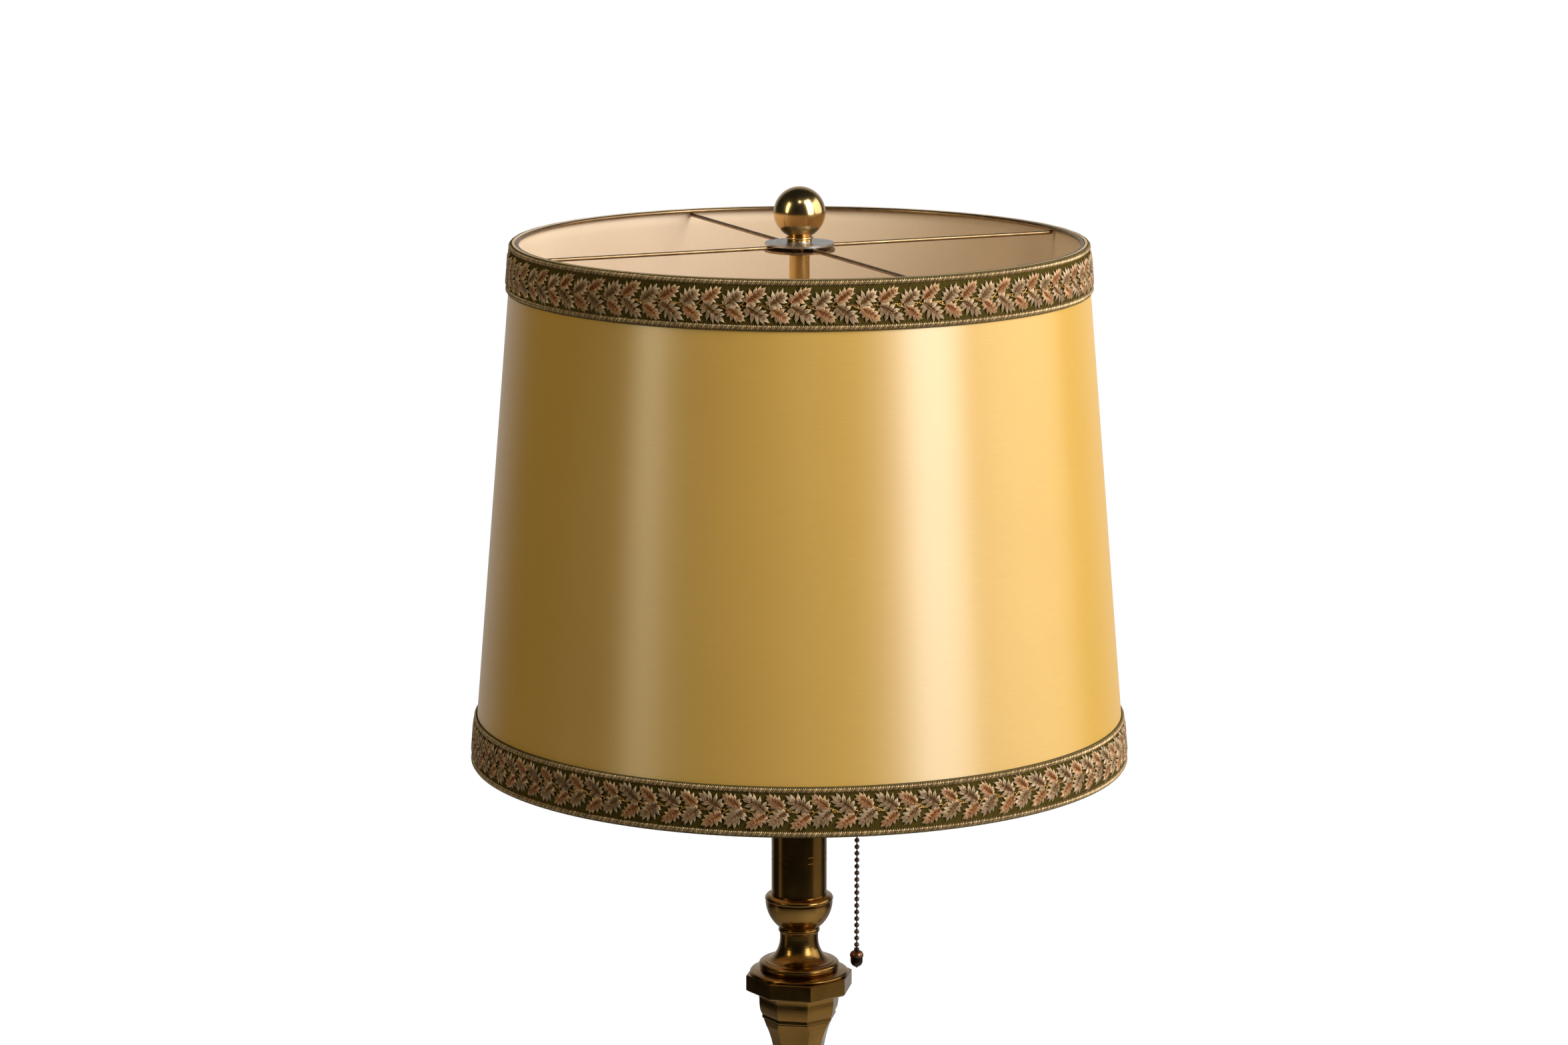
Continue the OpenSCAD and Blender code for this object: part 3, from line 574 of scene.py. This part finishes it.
class Strands:
    """Raised threads drawn flat: x and y in the plane, h above it, each one a closed low ridge."""

    SECTION = ((-1.0, 0.0), (1.0, 0.0), (0.62, 0.85), (0.0, 1.15), (-0.62, 0.85))

    def __init__(self):
        self.points, self.faces, self.uvs, self.tints = [], [], [], []
        self.count = 0

    def add(self, start, end, bow, stations, tall, tones, painted_side_shade=0.38):
        """A thread from start to end. stations: (t, half width, base height). tones: a colour per station."""
        start, end = np.array(start, float), np.array(end, float)
        ahead = end - start
        ahead /= np.hypot(*ahead)
        across = np.array([-ahead[1], ahead[0]])
        sides = len(self.SECTION)
        for (t, half, base), tone in zip(stations, tones):
            spine = start + (end - start) * t + across * bow * math.sin(math.pi * t)
            for k, (side, up) in enumerate(self.SECTION):
                flat = spine - across * side * half
                self.points.append((flat[0], flat[1], base + up * tall * min(1.0, half / 0.4)))
                self.uvs.append((side * 1.5, t * 4))
                # Painted shade: points low on the section are darkened by this factor, standing in for shade
                # on the thread's sides.
                painted_shade = 1.0 if up > 0.5 else painted_side_shade
                self.tints.append(tuple(c * painted_shade for c in tone) + (1.0,))
        first = self.count
        rows = len(stations)
        for a, b, c, d in grid_faces(rows, sides, False, True):
            self.faces.append((first + a, first + d, first + c, first + b))
        self.faces.append(tuple(first + k for k in range(sides)))
        self.faces.append(tuple(first + (rows - 1) * sides + k for k in reversed(range(sides))))
        self.count += rows * sides

    def arrays(self):
        return np.array(self.points), self.faces, np.array(self.uvs), np.array(self.tints)


# Lobes of a leaf: where each starts along the midrib, its direction in degrees, its reach in half widths
LOBES = ((0.08, 116, 0.60), (0.16, 90, 0.84), (0.28, 68, 0.96), (0.42, 49, 0.98), (0.58, 32, 0.88))


def blend(a, b, t):
    return tuple(x + (y - x) * t for x, y in zip(a, b))


def leaf_shape(length, width, core, edge, rng):
    """One embroidered leaf along +x from its stalk: threads fan from the midrib into pointed lobes."""
    strands = Strands()
    half = width / 2
    lobes = [(s, at, turn * s, reach * half * rng.uniform(0.92, 1.08))
             for at, turn, reach in LOBES for s in (-1, 1)]
    lobes.append((1, 0.66, 0.0, length * 0.34))
    for side, at, turn, reach in lobes:
        heading = math.radians(turn + rng.uniform(-6, 6))
        along = np.array([math.cos(heading), math.sin(heading)])
        across = np.array([-along[1], along[0]])
        root = np.array([at * length, 0.0])
        point = root + reach * along
        # Painted shade: the pad under the fanned threads is darkened to 0.45, standing in for shade in the
        # gaps between them.
        pad = tuple(c * 0.45 for c in blend(core, edge, 0.2))
        rim = tuple(c * 0.45 for c in blend(core, edge, 0.6))
        strands.add(root - 0.04 * length * along, point, 0.0,
                    ((0.0, 1.3, 0.25), (0.4, 1.5, 0.3), (0.72, 1.05, 0.2), (0.97, 0.12, -0.1)), 0.5,
                    (pad, pad, rim, rim))
        for k in (-1.5, -0.5, 0.5, 1.5):
            end = point + (0.12 - 0.09 * k * k) * reach * along + across * 0.3 * k
            begin = root + across * 0.45 * k
            gain = rng.uniform(0.7, 1.15)
            near, mid, far = (tuple(c * gain for c in blend(core, edge, f)) for f in (0.0, 0.32, 0.9))
            pale = tuple(min(1.0, c * gain * 1.2) for c in edge)
            strands.add(begin, end, 0.26 * k,
                        ((0.0, 0.2, 0.7), (0.3, 0.37, 0.9), (0.74, 0.37, 0.65), (1.0, 0.08, 0.05)), 0.55,
                        (near, mid, far, pale))
    rib = tuple(c * 0.95 for c in core)
    strands.add((0, 0), (0.9 * length, 0), rng.uniform(-0.2, 0.2),
                ((0.0, 0.30, 0.2), (0.2, 0.36, 0.95), (0.7, 0.30, 0.85), (1.0, 0.08, 0.2)), 0.4,
                (rib, rib, rib, edge))
    return strands.arrays()


PINK = ((0.30, 0.13, 0.03), (0.96, 0.71, 0.43))
RUST = ((0.42, 0.12, 0.008), (0.94, 0.63, 0.34))

# Kinds of leaf: length, width, lean in degrees, middle along the repeat (part of it) and up the band, tones
LEAVES = (
    (13.4, 10.4, 34, 0.00, 20.6, RUST),
    (12.8, 12.4, 38, 0.51, 18.6, PINK),
    (15.8, 12.6, -33, 0.05, 9.9, PINK),
    (11.6, 10.2, -34, 0.57, 8.9, RUST),
)


def add_leaves(soup, band, pairs, seed):
    """Two rows of leaves with their tips along +u, leaning apart, two kinds in turn in each row."""
    rng = random.Random(seed)
    pair = band.length / pairs
    for length, width, lean, along, up, (core, edge) in LEAVES:
        shapes = [leaf_shape(length, width, core, edge, rng) for _ in range(5)]
        for i in range(pairs):
            points, faces, uvs, tints = shapes[rng.randrange(len(shapes))]
            turn = math.radians(lean + rng.uniform(-4, 4))
            size = rng.uniform(0.95, 1.05)
            x, y = (points[:, 0] - length * 0.48) * size, points[:, 1] * size
            u = pair * (i + along) + rng.uniform(-0.3, 0.3) + x * math.cos(turn) - y * math.sin(turn)
            v = up + rng.uniform(-0.25, 0.25) + x * math.sin(turn) + y * math.cos(turn)
            tone = rng.uniform(0.9, 1.06)
            soup.add(band.place(u, v, GROUND_H + points[:, 2]), faces, uvs, tints * (tone, tone, tone, 1))


def add_rope(soup, band, v, raised, lean, width, tone):
    """One layer of a border: slanted gold stitches side by side."""
    count = round(band.length / ROPE_PITCH)
    shape = Strands()
    end = 0.5 * width
    stations = ((0.0, end, -0.1), (0.3, width, raised), (0.7, width, raised), (1.0, end, -0.1))
    shape.add((-lean, -ROPE_HEIGHT / 2), (lean, ROPE_HEIGHT / 2), 0.12, stations, 0.42, (tone,) * 4, 0.5)
    points, faces, uvs, tints = shape.arrays()
    for i in range(count):
        # Painted glints: each stitch's tint is brightened by a pseudo-random amount, standing in for sparkle
        # off the gold thread.
        painted_glint = 0.45 + 0.9 * ((i * 0.618) % 1) ** 2
        soup.add(
            band.place(points[:, 0] + band.length * i / count, points[:, 1] + v, GROUND_H + points[:, 2]),
            faces, uvs, tints * (painted_glint, painted_glint, painted_glint, 1),
        )


def add_edge_cord(soup, band, v):
    """The dark looped selvedge along an edge, as a thin cord with small bumps."""
    sides = 6
    loops = round(band.length / EDGE_PITCH)
    u = np.linspace(0, band.length, EDGE_COLUMNS, endpoint=False)
    rings = []
    for k in range(sides):
        a = 2 * math.pi * k / sides
        fat = EDGE_R + 0.14 * np.sin(u * 2 * math.pi * loops / band.length)
        rings.append(band.place(u, v + fat * math.cos(a), GROUND_H * 0.6 + fat * math.sin(a) * 1.05))
    points = np.stack(rings, 1).reshape(-1, 3)
    uvs = np.stack([np.repeat(u, sides), np.tile(np.arange(sides), EDGE_COLUMNS)], -1)
    soup.add(points, grid_faces(EDGE_COLUMNS, sides, True, True), uvs)


# Gold stems within one repeat: start and end as (part of the repeat, height up the band)
STEMS = (
    ((-0.44, 13.2), (-0.22, 17.6)), ((-0.30, 14.2), (-0.02, 16.2)), ((0.06, 15.4), (0.33, 15.4)),
    ((0.12, 15.2), (0.36, 12.6)), ((0.24, 14.6), (0.40, 11.8)), ((-0.22, 15.0), (-0.10, 13.4)),
)


VINE_V = 14.4
VINE_R = 0.28
STEM_R = 0.33


def add_vine(soup, band, pairs):
    """Two gold threads twisted into a wavy cord between the rows, and the short stems."""
    pair = band.length / pairs

    def thread(points, radius):
        points, faces = tube_points([Vector(p) for p in points], radius * MM, 6)
        soup.add([tuple(p) for p in points], faces, [(i // 6 * 0.9, i % 6) for i in range(len(points))])

    steps = pairs * 14
    for phase in (0.0, math.pi):
        strand = []
        for i in range(steps + 1):
            u = band.length * i / steps
            twist = 14 * math.pi * u / pair + phase
            wave = 0.8 * math.sin(4 * math.pi * u / pair) + 0.28 * math.sin(twist)
            strand.append(band.place(u, VINE_V + wave, GROUND_H + 0.35 + 0.15 * math.cos(twist)))
        thread(strand, VINE_R)
    for i in range(pairs):
        for (u0, v0), (u1, v1) in STEMS:
            stem = []
            for t in np.linspace(0, 1, 6):
                sag = 0.5 * math.sin(math.pi * t)
                stem.append(band.place(
                    pair * (i + u0 + (u1 - u0) * t), v0 + (v1 - v0) * t - sag, GROUND_H + 0.45 + 0.3 * t))
            thread(stem, STEM_R)


def make_braid(label, bottom_z, pairs, seed, turned, made):
    band = Band(bottom_z, turned)
    ground = braid_sleeve(band, label + "_ground", made["ground"])
    leaves = Soup()
    add_leaves(leaves, band, pairs, seed)
    gold = Soup()
    for v in (ROPE_V, band.height - ROPE_V):
        # The lower layer's darker tint is painted shade, with the upper stitches lying over it.
        add_rope(gold, band, v, 0.05, -0.75, 0.34, (0.55, 0.42, 0.30))
        add_rope(gold, band, v, 0.48, 0.95, 0.43, (1.0, 0.95, 0.86))
    vine = Soup()
    add_vine(vine, band, pairs)
    edge = Soup()
    add_edge_cord(edge, band, EDGE_V)
    add_edge_cord(edge, band, band.height - EDGE_V)
    pieces = [ground]
    for soup, part, material in (
        (leaves, "leaves", "leaf"), (gold, "rope", "rope"),
        (vine, "vine", "vine"), (edge, "selvedge", "edge"),
    ):
        obj = soup.build(label + "_" + part)
        obj.data.materials.append(made[material])
        pieces.append(obj)
    for obj in pieces:
        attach(obj, "shade")
    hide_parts(label)


# Repeats of the pattern round each band
TOP_PAIRS = 43
BOTTOM_PAIRS = 49


def make_braids():
    made = {
        "ground": braid_ground(),
        "leaf": thread_material(
            "leaf_thread", (0.60, 0.60, 0.60), (1.0, 1.0, 1.0), 0.24, 0.3, 0.5, 0.02 * MM, 0.7),
        "rope": thread_material(
            "gold_thread", (0.50, 0.31, 0.14), (1.0, 0.78, 0.46), 0.22, 0.55, 0.4, 0.015 * MM),
        "vine": thread_material(
            "vine_thread", (0.30, 0.16, 0.04), (0.66, 0.40, 0.13), 0.32, 0.8, 0.4, 0.02 * MM),
        "edge": thread_material(
            "selvedge_thread", (0.05, 0.042, 0.015), (0.14, 0.115, 0.04), 0.9, 0.0, 0.4, 0.02 * MM),
    }
    make_braid("top_braid", RIM_Z - BRAID_H, TOP_PAIRS, 5, False, made)
    make_braid("bottom_braid", SHADE_BOTTOM_Z, BOTTOM_PAIRS, 11, True, made)


# ------------------------------------------------------------------ carried-over CAD nodes


def dress_cad_nodes():
    """Gives each CAD node that stays in view the made material of its slot."""
    brass = aged_brass()
    riser = aged_brass("riser_brass", (0.36, 0.20, 0.06), (0.70, 0.46, 0.18), (0.24, 0.36), (14, 14, 1))
    socket = aged_brass("socket_brass", (0.40, 0.25, 0.09), (0.74, 0.55, 0.26), (0.22, 0.32))
    wire = bronze_wire()
    by_slot = {
        "aged_brass": brass,
        "polished_brass": polished_brass(),
        "socket_brass": socket,
        "bronze_wire": wire,
        "hub_metal": steel("hub_metal", (0.60, 0.57, 0.54), 0.34),
        "steel": steel(),
        "cast_iron": cast_iron(),
        "felt": felt(),
        "rubber": moulded("rubber", (0.03, 0.03, 0.03), 0.6),
        "lead": moulded("lead", (0.05, 0.03, 0.02), 0.5),
        "phenolic": moulded("phenolic", (0.045, 0.03, 0.025)),
        "nylon": moulded("nylon", (0.72, 0.70, 0.62)),
        "chain_bronze": chain_bronze(),
        "acorn": acorn_bronze(),
        "aluminium": steel("aluminium", (0.80, 0.80, 0.80), 0.3),
        "bulb_glass": frosted_glass(),
    }
    for part in frame["record"]["subparts"]:
        material = by_slot.get(part["material_slot"])
        if part["node"] in ("riser_tube", "riser_stud"):
            material = riser
        if material is None:
            continue
        mesh = nodes[part["node"]].data
        mesh.materials.clear()
        mesh.materials.append(material)


# ------------------------------------------------------------------ stage and light


def area_light(name, azimuth, elevation, distance, size, power, color, target):
    """A soft box. Azimuth is counted from the front towards +X, in degrees."""
    data = bpy.data.lights.new(name, "AREA")
    data.shape = "RECTANGLE"
    data.size, data.size_y = size
    data.energy = power
    data.color = color
    obj = bpy.data.objects.new(name, data)
    a, e = math.radians(azimuth), math.radians(elevation)
    away = Vector((math.sin(a) * math.cos(e), -math.cos(a) * math.cos(e), math.sin(e)))
    obj.location = Vector(target) + away * distance
    obj.rotation_mode = "QUATERNION"
    obj.rotation_quaternion = away.to_track_quat("Z", "Y")
    obj.visible_camera = False
    bpy.context.scene.collection.objects.link(obj)


FLOOR_R = 2.4
FLOOR_SIDES = 96
# What the lights aim at: the shade, and the turned part of the column
SHADE_TARGET = (0, 0, 1.33)
COLUMN_TARGET = (0, 0, 1.03)


def make_floor():
    turns = [math.tau * i / FLOOR_SIDES for i in range(FLOOR_SIDES)]
    rim = [(FLOOR_R * math.cos(a), FLOOR_R * math.sin(a), 0) for a in turns]
    floor = new_mesh("floor", rim, [tuple(range(FLOOR_SIDES))])
    mat = Mat("floor_paint", (0.82, 0.81, 0.79), 0.75)
    paint = mat.mix(mat.noise(3, 3.0), (0.80, 0.79, 0.77), (0.83, 0.82, 0.80))
    mat.link(paint, "Base Color")
    floor.data.materials.append(mat.mat)


def make_lights():
    """Two tall boxes for the satin's bands, a wash, a small top light, and two low cards for the brass."""
    area_light("key_right", 51, 29, 1.8, (0.74, 1.9), 32, (1.0, 0.99, 0.95), SHADE_TARGET)
    area_light("wash_right", 94, 20, 2.4, (2.0, 1.8), 23, (1.0, 0.95, 0.86), SHADE_TARGET)
    area_light("fill_left", -58, 26, 1.7, (0.3, 1.1), 6.0, (1.0, 0.89, 0.60), SHADE_TARGET)
    area_light("top_small", 2, 56, 2.2, (0.2, 0.2), 1.5, (1.0, 0.95, 0.88), SHADE_TARGET)
    area_light("card_right", 84, -15, 1.5, (1.2, 0.8), 0.85, (1.0, 0.88, 0.66), COLUMN_TARGET)
    area_light("card_left", -86, -15, 1.5, (0.3, 0.8), 0.22, (1.0, 0.84, 0.58), COLUMN_TARGET)


def make_world():
    """White to the camera. To everything else dark, and brighter only towards the back of the studio."""
    world = bpy.data.worlds.new("studio")
    bpy.context.scene.world = world
    world.use_nodes = True
    tree = world.node_tree
    back = tree.nodes["Background"]
    paths = tree.nodes.new("ShaderNodeLightPath")
    coords = tree.nodes.new("ShaderNodeTexCoord")
    split = tree.nodes.new("ShaderNodeSeparateXYZ")
    tree.links.new(coords.outputs["Generated"], split.inputs[0])
    behind = tree.nodes.new("ShaderNodeMapRange")
    for key, number in (("From Min", 0.62), ("From Max", 0.95), ("To Min", 0.015), ("To Max", 0.55)):
        behind.inputs[key].default_value = number
    tree.links.new(split.outputs["Y"], behind.inputs["Value"])
    choose = tree.nodes.new("ShaderNodeMix")
    choose.data_type = "FLOAT"
    tree.links.new(paths.outputs["Is Camera Ray"], choose.inputs[0])
    tree.links.new(behind.outputs[0], choose.inputs[2])
    choose.inputs[3].default_value = 1.0
    tree.links.new(choose.outputs[0], back.inputs["Strength"])
    back.inputs["Color"].default_value = (1, 1, 1, 1)
    bpy.context.scene.view_settings.view_transform = "Standard"


# ------------------------------------------------------------------ the scene

make_camera()
make_pull_chain()
dress_cad_nodes()
make_shade()
make_braids()
make_floor()
make_lights()
make_world()
